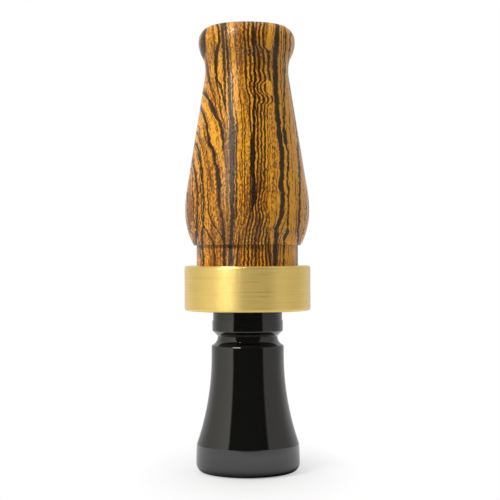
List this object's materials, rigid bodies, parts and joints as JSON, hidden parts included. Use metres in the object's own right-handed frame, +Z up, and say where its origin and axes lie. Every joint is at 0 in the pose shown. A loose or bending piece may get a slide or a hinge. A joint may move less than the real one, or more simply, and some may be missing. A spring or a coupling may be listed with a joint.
{
  "type": "duck call",
  "caption": "Hand-held duck call: a turned wooden barrel with a brass band pushes onto a black flared insert that carries the tone board, reeds and cork wedge.",
  "frame": {"origin": "centre of the insert's foot, on the surface that the call stands on", "axes": "+Z up the bore towards the mouthpiece, -Y the side of the reeds"},
  "size_m": [0.0344, 0.0344, 0.1217],
  "materials": {
    "striped_wood": "golden wood with dark stripes, polished satin gloss",
    "brushed_brass": "turned brass with fine lines round it",
    "black_acrylic": "black, polished to a mirror gloss",
    "board_plastic": "black, machined, semi-gloss",
    "cork": "natural cork, matte",
    "reed_film": "milky polyester film, satin",
    "seal_rubber": "black rubber, satin"
  },
  "bodies": {
    "insert": {"insert": "black_acrylic"},
    "o_rings": {"o_ring_1": "seal_rubber", "o_ring_2": "seal_rubber"},
    "barrel": {"barrel": "striped_wood", "band": "brushed_brass"},
    "sounding_board": {"tone_board": "board_plastic"},
    "wedge": {"wedge_block": "cork"},
    "long_reed": {"long_reed": "reed_film"},
    "short_reed": {"short_reed": "reed_film"}
  },
  "joints": [
    {"name": "barrel_twist", "type": "hinge", "parent": "insert", "child": "o_rings", "pos_m": [0, 0, 0.05], "axis": [0, 0, 1], "continuous": true},
    {"name": "barrel_slide", "type": "slide", "parent": "o_rings", "child": "barrel", "axis": [0, 0, 1], "range_m": [-0.0025, 0.07]},
    {"name": "board_slide", "type": "slide", "parent": "insert", "child": "sounding_board", "axis": [0, 0, 1], "range_m": [0, 0.0165]},
    {"name": "wedge_slide", "type": "slide", "parent": "sounding_board", "child": "wedge", "axis": [0, 0, 1], "range_m": [0, 0.0145]},
    {"name": "long_reed_flex", "type": "hinge", "parent": "sounding_board", "child": "long_reed", "pos_m": [0, -0.00114, 0.06208], "axis": [-1, 0, 0], "range_deg": [0, 1.45], "stiffness_Nm_per_rad": 0.0045},
    {"name": "short_reed_flex", "type": "hinge", "parent": "sounding_board", "child": "short_reed", "pos_m": [0, -0.00152, 0.06208], "axis": [-1, 0, 0], "range_deg": [0, 1.45], "stiffness_Nm_per_rad": 0.0045}
  ],
  "couplings": [
    {"joint": "short_reed_flex", "follows": "long_reed_flex", "ratio": 1}
  ]
}
